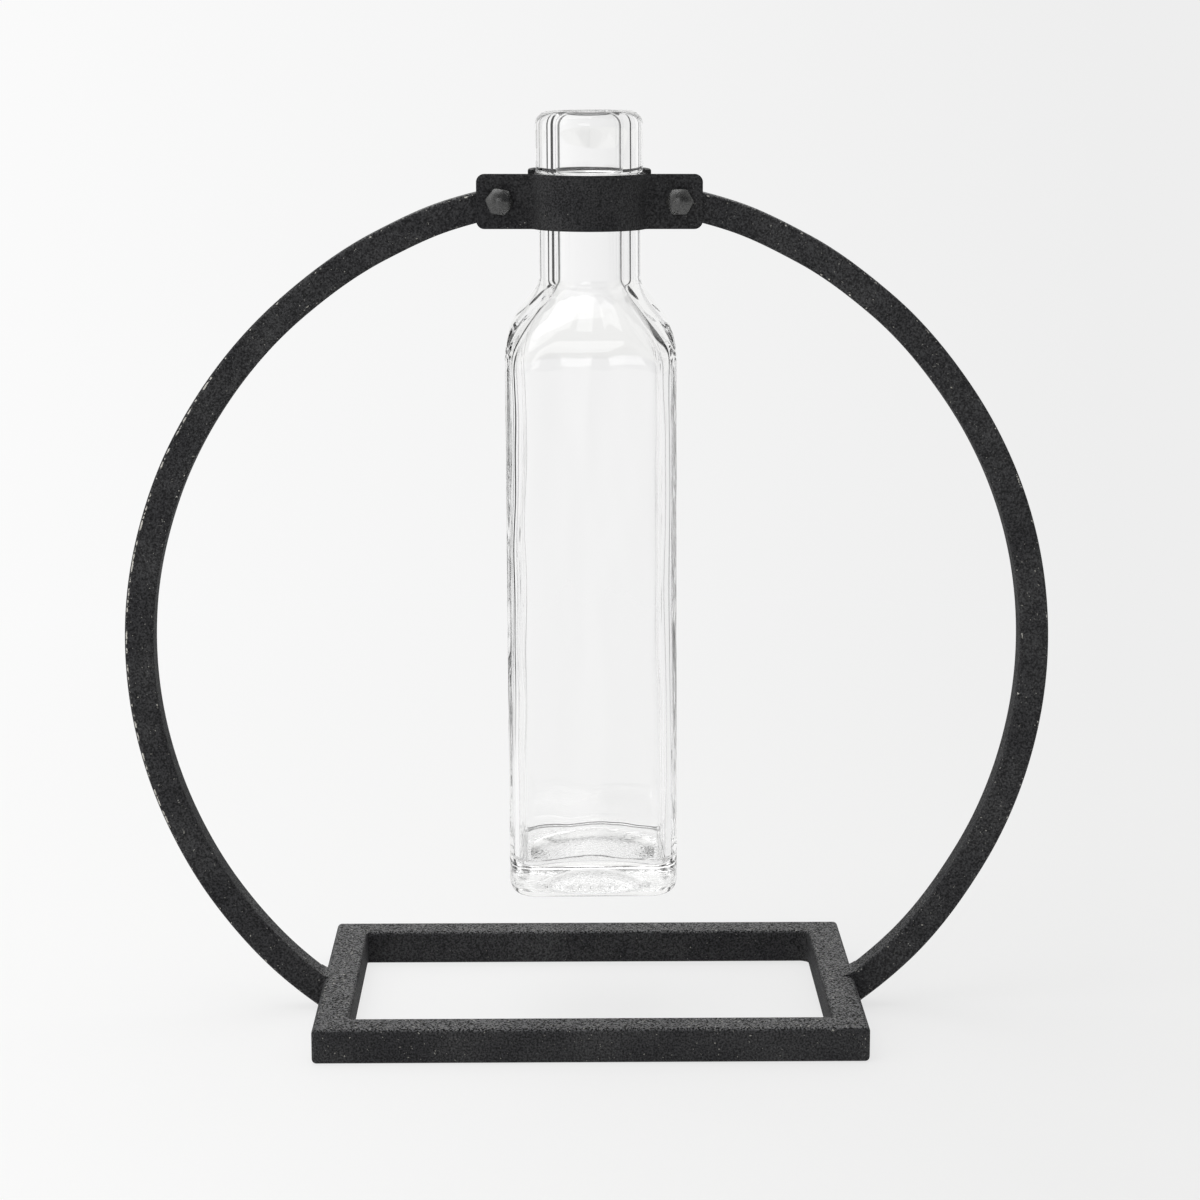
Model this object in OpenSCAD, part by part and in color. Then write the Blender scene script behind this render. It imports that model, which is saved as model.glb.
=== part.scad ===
// Tabletop hoop stand that holds a square glass bottle by its neck.
// A bent square bar forms the hoop, a flat rectangular frame carries it, and a bolted
// collar at the top traps the neck, so that the bottle hangs by the bead of its mouth.
// Z is up, X runs along the hoop, and the camera side is -Y. The origin is on the
// table, under the middle of the frame.

/* [Base frame] */
// Width of the base frame, left to right
base_w = 178; // [140:1:240]
// Depth of the base frame, front to back
base_d = 108; // [70:1:180]
// Side of the square bar that the base frame is welded from
base_bar = 11.4; // [9:0.2:15]
// Rounding along the edges of the base bars
base_edge_r = 1.5; // [0.6:0.1:2.4]

/* [Hoop] */
// Outer diameter of the hoop
hoop_d = 305; // [260:1:380]
// Side of the square bar that the hoop is bent from
hoop_bar = 9.5; // [9:0.1:11]
// Rounding along the edges of the hoop bar
hoop_edge_r = 1.2; // [0.4:0.1:1.8]
// Height above the table at which the underside of the hoop meets the side bars
hoop_toe = 0.7; // [0.2:0.1:2]

/* [Collar] */
// Inner radius of both halves of the collar
collar_bore_r = 16.8; // [16.6:0.1:17]
// Height of the collar
collar_h = 17.5; // [12:0.5:20]
// Thickness of the bolted front strap
strap_t = 1.6; // [1.2:0.2:3]
// Thickness of the rear half, which is welded to the hoop
rear_t = 2.9; // [2:0.1:4]
// How far each half's centre lies from the plane of the hoop
half_spread = 2; // [0:0.2:4]
// Full width of the strap over its two ears
ears_w = 72.4; // [66:0.2:84]
// Radius of the outer corners of the ears
ear_corner_r = 2.6; // [1:0.2:5]
// Radius of the bend where an ear meets the curved strap
ear_bend_r = 2; // [1:0.5:4]

/* [Bolts] */
// Distance between the two bolts
bolt_pitch = 57.4; // [52:0.2:60]
// Height of the bolts, and of the middle of the collar, above the middle of the hoop bar
bolt_rise = 1.1; // [0:0.1:1.5]
// Thread diameter
bolt_d = 5; // [3:0.5:6]
// Size across the flats of the heads and nuts
hex_flats = 8; // [7:0.5:10]
// Height of a bolt head
head_h = 3.6; // [2.5:0.1:5]
// Radius of the dome on a bolt head
head_dome_r = 13; // [9:1:30]
// Height of a nut
nut_h = 4; // [3:0.2:6]
// Length of thread that shows past the nut
tip_l = 1.8; // [0.6:0.2:4]
// Clearance round the bolt in the hoop bar and the ears
bolt_gap = 0.25; // [0.1:0.05:0.5]
// Clearance between the thread and the nut
thread_gap = 0.03; // [0.01:0.01:0.08]

/* [Bottle] */
// Width of the square body
body_w = 54.8; // [46:0.2:64]
// Radius of the upright corners of the body
body_corner_r = 9; // [7:0.5:14]
// Radius of the heel, where the sides turn under
heel_r = 5; // [3:0.5:6]
// Thickness of the side walls
glass_wall = 3.3; // [2:0.1:5]
// Diameter of the neck
neck_d = 32.9; // [30:0.1:33.2]
// Length of the straight neck, from the shoulder to the bead
neck_l = 33.6; // [28:0.2:50]
// Height of the shoulder, from the straight body to the neck
shoulder_h = 29.8; // [22:0.2:40]
// Height of the body below the shoulder
body_h = 170.8; // [120:0.2:180]
// Diameter of the bead round the mouth
bead_d = 34.6; // [34:0.2:36]
// Height of the bead round the mouth
bead_h = 19.8; // [12:0.2:26]
// Rounding of the rim, outside
rim_r = 4.4; // [2:0.2:5]
// Rounding of the rim, inside
lip_r = 1.3; // [0.6:0.1:1.8]
// Rounding under the bead
bead_foot_r = 0.8; // [0.4:0.2:2]
// Diameter of the bore through the neck
mouth_d = 21.8; // [16:0.2:23]
// Height of the inside floor above the underside, beside the walls
floor_h = 8; // [6:0.5:14]
// How far the floor rises in the middle
floor_rise = 4; // [1:0.5:6]
// Diameter of the hollow in the underside
punt_d = 37; // [24:1:42]
// Depth of the hollow in the underside
punt_h = 4.6; // [1:0.2:5]
// Step by which the lofted shoulder closes inside the neck and the bore that cross it
neck_step = 0.4; // [0.2:0.1:0.8]
// Gap between the bead and the collar that it hangs on
seat_gap = 0.1; // [0.05:0.05:0.3]

/* [Welds] */
// How far the fillet at a hoop foot reaches along the side bar and the hoop
foot_weld_leg = 4.1; // [2:0.1:6]
// Radius of the fillets round the hoop ends at the collar
collar_weld_r = 3.2; // [2:0.1:4]
// How deep the face of a collar weld dips under the faces of the bar
weld_bite = 0.6; // [0.3:0.1:0.9]
// Radius of the fillets in the inner corners of the base frame
corner_weld_r = 3; // [1.5:0.5:5]

/* [Hidden] */
$fn = 240;

coating = "#343436";
steel = "#3d3d3f";
glass = "#cfd8d4";
overrun = 1;

hoop_r = hoop_d / 2;
hoop_inner_r = hoop_r - hoop_bar;
hoop_mid_r = hoop_r - hoop_bar / 2;
hoop_z = hoop_toe + sqrt(pow(hoop_r, 2) - pow(base_w / 2, 2));

bolt_z = hoop_z + sqrt(pow(hoop_mid_r, 2) - pow(bolt_pitch / 2, 2)) + bolt_rise;
collar_top = bolt_z + collar_h / 2;
seat_y = -hoop_bar / 2;
ear_front_y = seat_y - strap_t;
strap_outer_r = collar_bore_r + strap_t;
rear_outer_r = collar_bore_r + rear_t;

bead_z = collar_top + seat_gap;
neck_z = bead_z - neck_l;
shoulder_z = neck_z - shoulder_h;
bottle_z = shoulder_z - body_h;
neck_wall = (neck_d - mouth_d) / 2;
neck_root = shoulder_h / 5;
punt_ball_r = (pow(punt_d / 2, 2) + pow(punt_h, 2)) / (2 * punt_h);
floor_ball_r = (pow(body_w / 2 - glass_wall, 2) + pow(floor_rise, 2)) / (2 * floor_rise);

// Steps of a loft: points on each quarter of a ring, rings on the heel and the shoulder
quarter_points = 12;
heel_rings = 4;
shoulder_rings = 12;

// Radius where the inside walls turn into the floor, as a share of the inside corner radius
floor_heel_share = 0.74;

// Turns of the two bolt heads and nuts, left then right
head_turns = [8.5, 0];
nut_turns = [22, -9];

// Cross-section of a drawn square bar with rounded edges
module bar_section(side, edge_r) {
    square([side - 2 * edge_r, side], center = true);
    square([side, side - 2 * edge_r], center = true);
    for (x = [-1, 1])
        for (y = [-1, 1])
            translate([x, y] * (side / 2 - edge_r))
                circle(edge_r);
}

// Filled corner with a hollow face: a triangle less the circle that touches its two far ends
module hollow_corner(corner, end_a, end_b, centre, r) {
    difference() {
        polygon([corner, end_a, end_b]);
        translate(centre) circle(r);
    }
}

// Straight bar of the base frame along Y, standing on the table
module bar_along_y(length) {
    translate([0, 0, base_bar / 2])
        rotate([90, 0, 0])
            linear_extrude(length, center = true)
                bar_section(base_bar, base_edge_r);
}

module bar_along_x(length) {
    rotate([0, 0, 90]) bar_along_y(length);
}

// Side bars run the whole depth of the frame
module side_bar(side) {
    translate([side * (base_w - base_bar) / 2, 0, 0]) bar_along_y(base_d);
}

// End bars are cut square and fit between the side bars
module end_bar(end) {
    translate([0, end * (base_d - base_bar) / 2, 0]) bar_along_x(base_w - 2 * base_bar);
}

module base_left_bar() { color(coating) side_bar(-1); }
module base_right_bar() { color(coating) side_bar(1); }
module base_front_bar() { color(coating) end_bar(-1); }
module base_rear_bar() { color(coating) end_bar(1); }

// One ground corner weld. It fills the rounded edges beside the joint flush with the bars,
// above and below, and leaves a small upright fillet in the inner corner.
module corner_weld() {
    joint = [base_w / 2 - base_bar, base_d / 2 - base_bar];
    seam = joint + [base_edge_r, base_edge_r];
    difference() {
        union() {
            translate([joint[0] + base_edge_r / 2, (base_d - base_bar) / 2, 0]) bar_along_x(base_edge_r);
            linear_extrude(base_bar)
                difference() {
                    polygon([seam, [joint[0] - corner_weld_r, seam[1]], joint - [corner_weld_r, 0],
                        joint - [0, corner_weld_r], [seam[0], joint[1] - corner_weld_r]]);
                    translate(joint - [corner_weld_r, corner_weld_r]) circle(corner_weld_r);
                }
        }
        side_bar(1);
        end_bar(1);
    }
}

module corner_welds() {
    color(coating)
        for (x = [0, 1])
            for (y = [0, 1])
                mirror([x, 0, 0]) mirror([0, y, 0]) corner_weld();
}

// Outside of the collar's rear half seen from above: a half round on two straight legs. The
// ends of the hoop are cut to it.
module rear_block() {
    translate([0, half_spread]) circle(rear_outer_r);
    translate([-rear_outer_r, seat_y - overrun])
        square([2 * rear_outer_r, half_spread - seat_y + overrun]);
}

module rear_outline() {
    difference() {
        rear_block();
        translate([0, half_spread]) circle(collar_bore_r);
        translate([-collar_bore_r, seat_y - overrun])
            square([2 * collar_bore_r, half_spread - seat_y + overrun]);
        translate([-rear_outer_r - overrun, seat_y - rear_outer_r])
            square([2 * (rear_outer_r + overrun), rear_outer_r]);
    }
}

// Right half of the hoop in the XZ plane, swept from its top to just inside the side bar
module half_hoop() {
    sweep = 180 - asin((base_w / 2 - hoop_bar) / hoop_r);
    translate([0, 0, hoop_z])
        rotate([0, -90, 0]) rotate([-90, 0, 0])
            rotate_extrude(angle = sweep, $fn = 480)
                translate([hoop_mid_r, 0]) bar_section(hoop_bar, hoop_edge_r);
}

// One arm of the hoop, from the outer face of a side bar up to the collar's rear half
module hoop_arm(side) {
    difference() {
        rotate([0, 0, 90 * (1 - side)]) half_hoop();
        translate([-base_w / 2, -hoop_bar, hoop_z - hoop_r - overrun])
            cube([base_w, 2 * hoop_bar, hoop_r]);
        translate([0, 0, hoop_z]) linear_extrude(hoop_r + overrun) rear_block();
        translate([side * bolt_pitch / 2, 0, bolt_z])
            rotate([90, 0, 0])
                cylinder(h = 2 * hoop_bar, r = bolt_d / 2 + bolt_gap, center = true);
    }
}

module hoop_left_arm() { color(coating) hoop_arm(-1); }
module hoop_right_arm() { color(coating) hoop_arm(1); }

// Hollow fillet that runs from the inner face of the hoop onto the top of the side bar. Its
// radius follows from its reach and from the angle between the two faces.
module foot_weld() {
    slope = acos((hoop_z - base_bar) / hoop_inner_r);
    face_r = foot_weld_leg / tan(slope / 2);
    centre_r = hoop_inner_r - face_r;
    centre_z = base_bar + face_r;
    centre_x = sqrt(pow(centre_r, 2) - pow(hoop_z - centre_z, 2));
    touch = [centre_x, centre_z - hoop_z] * hoop_inner_r / centre_r + [0, hoop_z];
    difference() {
        rotate([90, 0, 0])
            linear_extrude(hoop_bar - hoop_edge_r, center = true)
                hollow_corner([base_w / 2, base_bar - base_edge_r], [centre_x, base_bar],
                    touch, [centre_x, centre_z], face_r);
        hoop_arm(1);
        side_bar(1);
    }
}

module foot_welds() {
    color(coating)
        for (x = [0, 1])
            mirror([x, 0, 0]) foot_weld();
}

module collar_rear_half() {
    color(coating)
        translate([0, 0, bolt_z])
            linear_extrude(collar_h, center = true) rear_outline();
}

// Flare of the weld at the end of one hoop arm, drawn on the end face of the rear half: X runs
// out along the arm, and Y runs across it from low to high
module weld_flare(low, high) {
    difference() {
        translate([-rear_t / 2, low]) square([rear_t / 2 + collar_weld_r, high - low]);
        translate([collar_weld_r, high]) circle(collar_weld_r);
    }
}

// Weld above, below and behind the end of one hoop arm, where it butts on the rear half
module collar_weld() {
    end_z = hoop_z + sqrt(pow(hoop_mid_r, 2) - pow(rear_outer_r, 2));
    reach = hoop_bar / 2 - weld_bite + collar_weld_r;
    difference() {
        translate([rear_outer_r, 0, end_z])
            intersection() {
                rotate([90, 0, 0])
                    linear_extrude(2 * hoop_bar, center = true) {
                        weld_flare(0, reach);
                        mirror([0, 1]) weld_flare(0, reach);
                    }
                linear_extrude(2 * hoop_bar, center = true) weld_flare(seat_y, reach);
            }
        hoop_arm(1);
        translate([0, 0, bolt_z]) linear_extrude(collar_h, center = true) rear_block();
    }
}

module collar_welds() {
    color(coating)
        for (x = [0, 1])
            mirror([x, 0, 0]) collar_weld();
}

// Outline of the front strap seen from above: a half round between two flat ears
module strap_outline() {
    centre = [0, -half_spread];
    drop = -half_spread - ear_front_y;
    bend_reach = strap_outer_r + ear_bend_r;
    bend = [sqrt(pow(bend_reach, 2) - pow(drop + ear_bend_r, 2)), ear_front_y - ear_bend_r];
    difference() {
        union() {
            translate(centre) circle(strap_outer_r);
            translate([-ears_w / 2, ear_front_y]) square([ears_w, strap_t]);
            polygon([[-bend[0], seat_y], [-bend[0], bend[1]], centre, bend, [bend[0], seat_y]]);
        }
        for (x = [0, 1])
            mirror([x, 0]) translate(bend) circle(ear_bend_r);
        translate(centre) circle(collar_bore_r);
        translate([-ears_w / 2, seat_y]) square([ears_w, strap_outer_r + half_spread]);
    }
}

// Front view of the strap: a plate with round corners
module strap_front() {
    square([ears_w - 2 * ear_corner_r, collar_h], center = true);
    square([ears_w, collar_h - 2 * ear_corner_r], center = true);
    for (x = [-1, 1])
        for (z = [-1, 1])
            translate([x * (ears_w / 2 - ear_corner_r), z * (collar_h / 2 - ear_corner_r)])
                circle(ear_corner_r);
}

module collar_front_strap() {
    color(coating)
        difference() {
            intersection() {
                translate([0, 0, bolt_z])
                    linear_extrude(collar_h, center = true) strap_outline();
                translate([0, seat_y, bolt_z])
                    rotate([90, 0, 0])
                        linear_extrude(2 * strap_outer_r) strap_front();
            }
            for (x = [-1, 1])
                translate([x * bolt_pitch / 2, seat_y + overrun, bolt_z])
                    rotate([90, 0, 0])
                        cylinder(h = strap_t + 2 * overrun, r = bolt_d / 2 + bolt_gap);
        }
}

// Hexagon prism along Z with its corners turned off at a slant
module hex_block(height, slant) {
    corner_r = hex_flats / 2 / cos(30);
    intersection() {
        cylinder(h = height, r = corner_r, $fn = 6);
        rotate_extrude()
            polygon([[0, 0], [corner_r, 0], [corner_r, height - slant],
                [hex_flats / 2 - slant / 2, height], [0, height]]);
    }
}

// Bolt along Z: the head stands above zero, the shank hangs below it
module hex_bolt(turn) {
    shank_l = strap_t + hoop_bar + nut_h + tip_l;
    tip_slant = bolt_d / 8;
    rotate([0, 0, turn])
        intersection() {
            hex_block(head_h, head_h / 4);
            translate([0, 0, head_h - head_dome_r]) sphere(head_dome_r);
        }
    rotate_extrude()
        polygon([[0, 0], [bolt_d / 2, 0], [bolt_d / 2, tip_slant - shank_l],
            [bolt_d / 2 - tip_slant, -shank_l], [0, -shank_l]]);
}

module clamp_bolts() {
    color(steel)
        for (side = [0, 1])
            translate([(2 * side - 1) * bolt_pitch / 2, ear_front_y, bolt_z])
                rotate([90, 0, 0]) hex_bolt(30 - head_turns[side]);
}

module clamp_nuts() {
    color(steel)
        for (side = [0, 1])
            translate([(2 * side - 1) * bolt_pitch / 2, hoop_bar / 2, bolt_z])
                rotate([-90, 0, 0])
                    difference() {
                        rotate([0, 0, nut_turns[side]]) hex_block(nut_h, nut_h / 6);
                        translate([0, 0, -overrun])
                            cylinder(h = nut_h + 2 * overrun, r = bolt_d / 2 + thread_gap);
                    }
}

// Smooth step from 0 to 1, and its late-starting form that shapes the shoulder
function ease(t) = t * t * (3 - 2 * t);
function late(t) = ease(t * t);

// Ring of points at one height: a square of half-width w with corners of radius r
function ring(z, w, r) = [
    for (quarter = [0:3])
        for (i = [0:quarter_points - 1])
            let (a = (i + 0.5) / quarter_points * 90, p = [w - r + r * cos(a), w - r + r * sin(a)])
                [[p[0], p[1]], [-p[1], p[0]], [-p[0], -p[1]], [p[1], -p[0]]][quarter]
];

// Rings of the bottle's skin, set in by wall, from its foot up to its neck. Each entry is
// [height, half-width, corner radius]. The corners widen until the top ring is a circle.
function skin_rings(foot_z, foot_r, wall, wall_at_neck) = concat(
    [
        for (i = [0:heel_rings])
            let (a = 90 * i / heel_rings, tuck = foot_r * (1 - sin(a)))
                [foot_z + foot_r * (1 - cos(a)), body_w / 2 - wall - tuck, body_corner_r - wall - tuck]
    ],
    [
        for (i = [0:shoulder_rings])
            let (
                t = i / shoulder_rings,
                glass_here = wall + (wall_at_neck - wall) * ease(t),
                w = body_w / 2 - (body_w - neck_d) / 2 * late(t) - neck_step * t - glass_here,
                r = body_corner_r - wall + (w - body_corner_r + wall) * ease(t)
            )
                [shoulder_z + t * shoulder_h, w, r]
    ]
);

// Solid skin through a list of rings
module loft(rings) {
    n = 4 * quarter_points;
    last = len(rings) - 1;
    points = [for (k = rings) for (p = ring(k[0], k[1], k[2])) [p[0], p[1], k[0]]];
    sides = [
        for (k = [0:last - 1])
            for (i = [0:n - 1])
                let (j = (i + 1) % n)
                    [k * n + i, (k + 1) * n + i, (k + 1) * n + j, k * n + j]
    ];
    foot = [[for (i = [0:n - 1]) i]];
    top = [[for (i = [n - 1:-1:0]) last * n + i]];
    polyhedron(points, concat(foot, sides, top));
}

// Half-section of the neck, rooted in the shoulder, and of the bead round the mouth
module neck_section() {
    bead_r = bead_d / 2;
    translate([0, -neck_root]) square([neck_d / 2, neck_root + neck_l + bead_h - rim_r]);
    translate([0, neck_l]) {
        translate([0, bead_foot_r]) square([bead_r, bead_h - bead_foot_r - rim_r]);
        square([bead_r - bead_foot_r, bead_foot_r]);
        translate([bead_r - bead_foot_r, bead_foot_r]) circle(bead_foot_r);
        translate([0, bead_h - rim_r]) square([bead_r - rim_r, rim_r]);
        translate([bead_r - rim_r, bead_h - rim_r]) circle(rim_r);
    }
}

// Bore through the neck, with its rounded lip at the mouth
module mouth_section() {
    depth = neck_l + bead_h;
    translate([0, -neck_root]) square([mouth_d / 2, neck_root + depth + overrun]);
    translate([mouth_d / 2, depth - lip_r])
        difference() {
            square([lip_r, lip_r + overrun]);
            translate([lip_r, 0]) circle(lip_r);
        }
}

// Inside of the body, with the floor raised in the middle
module cavity() {
    difference() {
        loft(skin_rings(bottle_z + floor_h, (body_corner_r - glass_wall) * floor_heel_share,
            glass_wall, neck_wall));
        translate([0, 0, bottle_z + floor_h + floor_rise - floor_ball_r])
            sphere(floor_ball_r);
    }
}

module glass_bottle() {
    color(glass, 0.5)
        difference() {
            union() {
                loft(skin_rings(bottle_z, heel_r, 0, 0));
                translate([0, 0, neck_z]) rotate_extrude() neck_section();
            }
            cavity();
            translate([0, 0, neck_z]) rotate_extrude() mouth_section();
            translate([0, 0, bottle_z + punt_h - punt_ball_r]) sphere(punt_ball_r);
        }
}

base_front_bar();
base_rear_bar();
base_left_bar();
base_right_bar();
corner_welds();
hoop_left_arm();
hoop_right_arm();
foot_welds();
collar_rear_half();
collar_welds();
collar_front_strap();
clamp_bolts();
clamp_nuts();
glass_bottle();
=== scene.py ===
import math

import bmesh
import bpy
from mathutils import Matrix, Vector, kdtree, noise


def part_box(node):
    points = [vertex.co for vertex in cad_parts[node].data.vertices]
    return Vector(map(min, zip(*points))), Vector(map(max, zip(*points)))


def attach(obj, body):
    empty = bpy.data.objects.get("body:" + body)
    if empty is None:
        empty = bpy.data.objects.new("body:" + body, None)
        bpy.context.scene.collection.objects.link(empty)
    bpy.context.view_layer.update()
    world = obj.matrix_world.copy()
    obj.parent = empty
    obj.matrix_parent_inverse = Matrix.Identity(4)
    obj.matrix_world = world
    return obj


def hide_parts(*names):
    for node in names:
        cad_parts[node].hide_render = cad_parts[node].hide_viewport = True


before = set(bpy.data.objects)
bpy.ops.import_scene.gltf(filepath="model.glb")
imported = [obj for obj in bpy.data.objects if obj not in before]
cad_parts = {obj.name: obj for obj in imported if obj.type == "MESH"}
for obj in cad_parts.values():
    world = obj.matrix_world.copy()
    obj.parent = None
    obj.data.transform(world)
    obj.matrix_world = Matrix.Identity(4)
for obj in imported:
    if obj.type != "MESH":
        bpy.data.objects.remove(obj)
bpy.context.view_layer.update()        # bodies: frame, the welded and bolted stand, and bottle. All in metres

mm = 0.001
hair = 0.1 * mm      # less than any real size here, to tell places on a mesh apart
touch = 1e-6         # points nearer than this are the same point
scene = bpy.context.scene
scene.view_settings.view_transform = 'Standard'
print("Frame loaded:", len(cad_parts), "nodes")


# Small helpers for modelling and for material nodes

def clearSelection():
    for other in bpy.context.selected_objects:
        other.select_set(False)


def choose(piece):
    clearSelection()
    piece.select_set(True)
    bpy.context.view_layer.objects.active = piece


def pick(kind, test):
    # in edit mode, selects the vertices, edges or faces for which test says yes
    data = bpy.context.edit_object.data
    bpy.ops.mesh.select_mode(type=kind)
    bpy.ops.mesh.select_all(action='DESELECT')
    mesh = bmesh.from_edit_mesh(data)
    for part in {'VERT': mesh.verts, 'EDGE': mesh.edges, 'FACE': mesh.faces}[kind]:
        if test(part):
            part.select_set(True)
    mesh.select_flush_mode()
    bmesh.update_edit_mesh(data)


def middle(part):
    return sum((v.co for v in part.verts), Vector()) / len(part.verts)


def editMode():
    bpy.ops.object.mode_set(mode='EDIT')


def objectMode():
    bpy.ops.object.mode_set(mode='OBJECT')


def selectAll():
    bpy.ops.mesh.select_all(action='SELECT')


def settle(name):
    # names the new primitive and puts its place and turn into its mesh
    bpy.ops.object.transform_apply(location=True, rotation=True, scale=True)
    bpy.context.object.name = name
    return bpy.context.object


def cubeBetween(name, low, high):
    clearSelection()
    low, high = Vector(low), Vector(high)
    bpy.ops.mesh.primitive_cube_add(size=1, location=(low + high) / 2, scale=high - low)
    return settle(name)


def spinPicked(angle, centre, axis, steps):
    # spin turns clockwise round its axis for a positive angle
    bpy.ops.mesh.spin(steps=steps, angle=math.radians(angle), center=centre, axis=axis)


def extrudePicked(x, y):
    bpy.ops.mesh.extrude_region_move(TRANSFORM_OT_translate={"value": (x, y, 0)})


def cleanUp():
    editMode()
    bpy.ops.mesh.select_mode(type='VERT')
    selectAll()
    bpy.ops.mesh.remove_doubles(threshold=touch)
    bpy.ops.mesh.normals_make_consistent(inside=False)
    objectMode()


def applyModifier(piece, kind, **settings):
    choose(piece)
    step = piece.modifiers.new(kind.title(), kind)
    for key, value in settings.items():
        setattr(step, key, value)
    bpy.ops.object.modifier_apply(modifier=step.name)


def roundEdges(piece, width, segments, above):
    # rounds the edges that turn by more than above, in degrees
    applyModifier(piece, 'BEVEL', width=width, segments=segments, limit_method='ANGLE',
                  angle_limit=math.radians(above), use_clamp_overlap=True)


def cutOut(piece, cutter, operation='DIFFERENCE'):
    applyModifier(piece, 'BOOLEAN', object=cutter, operation=operation, solver='EXACT')
    bpy.data.objects.remove(cutter)


def moveMesh(piece, place):
    # moves every vertex of a finished mesh to where place says
    for vertex in piece.data.vertices:
        vertex.co = place(vertex.co)
    piece.data.update()


def joinPieces(name, parts):
    clearSelection()
    for part in parts:
        part.select_set(True)
    bpy.context.view_layer.objects.active = parts[0]
    bpy.ops.object.join()
    parts[0].name = name
    return parts[0]


def finishPiece(piece, nodes, body, material, smoothAngle=40):
    choose(piece)
    bpy.ops.object.shade_smooth_by_angle(angle=math.radians(smoothAngle))
    applyModifier(piece, 'WEIGHTED_NORMAL', keep_sharp=True)
    piece.data.materials.clear()
    piece.data.materials.append(material)
    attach(piece, body)
    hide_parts(*nodes)
    print("Piece", piece.name, len(piece.data.polygons), "faces")
    return piece


def ease(t):
    t = min(max(t, 0), 1)
    return t * t * (3 - 2 * t)


def linear(hexColour):
    # sRGB hex to the linear colour that the shader wants
    parts = [int(hexColour[i:i + 2], 16) / 255 for i in (1, 3, 5)]
    return tuple(c / 12.92 if c <= 0.04045 else ((c + 0.055) / 1.055) ** 2.4
                 for c in parts) + (1,)


def addNode(tree, kind, settings=None, links=None):
    # settings and links are keyed by the name of a setting or socket, or by a socket's number
    node = tree.nodes.new(kind)
    for key, value in (settings or {}).items():
        if isinstance(key, str) and hasattr(node, key):
            setattr(node, key, value)
        else:
            node.inputs[key].default_value = value
    for key, (source, output) in (links or {}).items():
        tree.links.new(source.outputs[output], node.inputs[key])
    return node


def addRamp(tree, source, stops):
    ramp = addNode(tree, 'ShaderNodeValToRGB', {}, {'Fac': (source, 0)})
    while len(ramp.color_ramp.elements) < len(stops):
        ramp.color_ramp.elements.new(0.5)
    for element, (place, colour) in zip(ramp.color_ramp.elements, stops):
        element.position = place
        element.color = colour
    return ramp


def greyRamp(tree, source, stops):
    # stops are pairs of a place on the ramp and a shade
    return addRamp(tree, source, [(place, (shade, shade, shade, 1)) for place, shade in stops])


def mixColours(tree, share, first, second):
    # each of the two is a colour or a pair of node and output
    settings, links = {'data_type': 'RGBA'}, {0: share}
    for socket, value in ((6, first), (7, second)):
        (links if isinstance(value[0], bpy.types.Node) else settings)[socket] = value
    return addNode(tree, 'ShaderNodeMix', settings, links)


def newMaterial(name):
    material = bpy.data.materials.new(name)
    material.use_nodes = True
    tree = material.node_tree
    tree.nodes.clear()
    output = tree.nodes.new('ShaderNodeOutputMaterial')
    return material, tree, output


# Materials

coat = {
    # the third colour is a painted glint, put on the peaks of the grain; bare is the steel under chipped coat
    "dark": "#2b2b2d", "light": "#39393a", "glintSpeck": "#a3a19a", "bare": "#cbc8c1",
    "grain": 0.62 * mm,      # lumps of the textured powder, seen as fine sand
    "height": 0.36 * mm,     # how far the lumps stand up
    "speck": 0.85 * mm,      # spacing of the painted glints on the grains
    "patch": 16 * mm,        # slow change in tone where the powder lies thicker
    "chip": 1.9 * mm,        # length of the chips along a worn edge
    "patches": (0.35, 0.7),  # noise at which a patch is fully dark and fully light
    "specks": 0.735,         # noise above which a grain gets a painted glint
    "moreSpecks": 0.05,      # how much lower that is on faces that lay upwards, so tops get more painted glints
    "speckRim": 0.06,        # over this much more it gets its full brightness
    "wear": 0.3,             # how much edgeWear adds to the noise of the chips
    "chips": ((0.79, 0), (0.83, 1)),     # noise at which the coat begins to be off, and is off
    # On faces that lay upwards the sand is painted lighter and with more contrast, as top light,
    # and the hollows between the lumps hardly shine. Upright faces are duller, so they don't take a
    # sheen where they are seen from the side. Sand and shine are pairs of the grain's noise and a shade.
    "facing": (0.5, 0.9),    # upward part of the normal, from a plain upright face to an upward one
    "upright": {"sandAndFacingLight": ((0.36, 0.5), (0.68, 1.7)), "shine": ((0.38, 0.16), (0.64, 0.42)),
                "roughness": 0.8},
    "upward": {"sandAndFacingLight": ((0.42, 0.1), (0.62, 2.8)), "shine": ((0.43, 0.04), (0.6, 0.96)),
               "roughness": 0.48},
}


def noiseTexture(tree, place, size, detail, roughness=0.5):
    return addNode(tree, 'ShaderNodeTexNoise', {
        'Scale': 1 / size, 'Detail': detail, 'Roughness': roughness}, {'Vector': (place, 'Object')})


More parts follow.
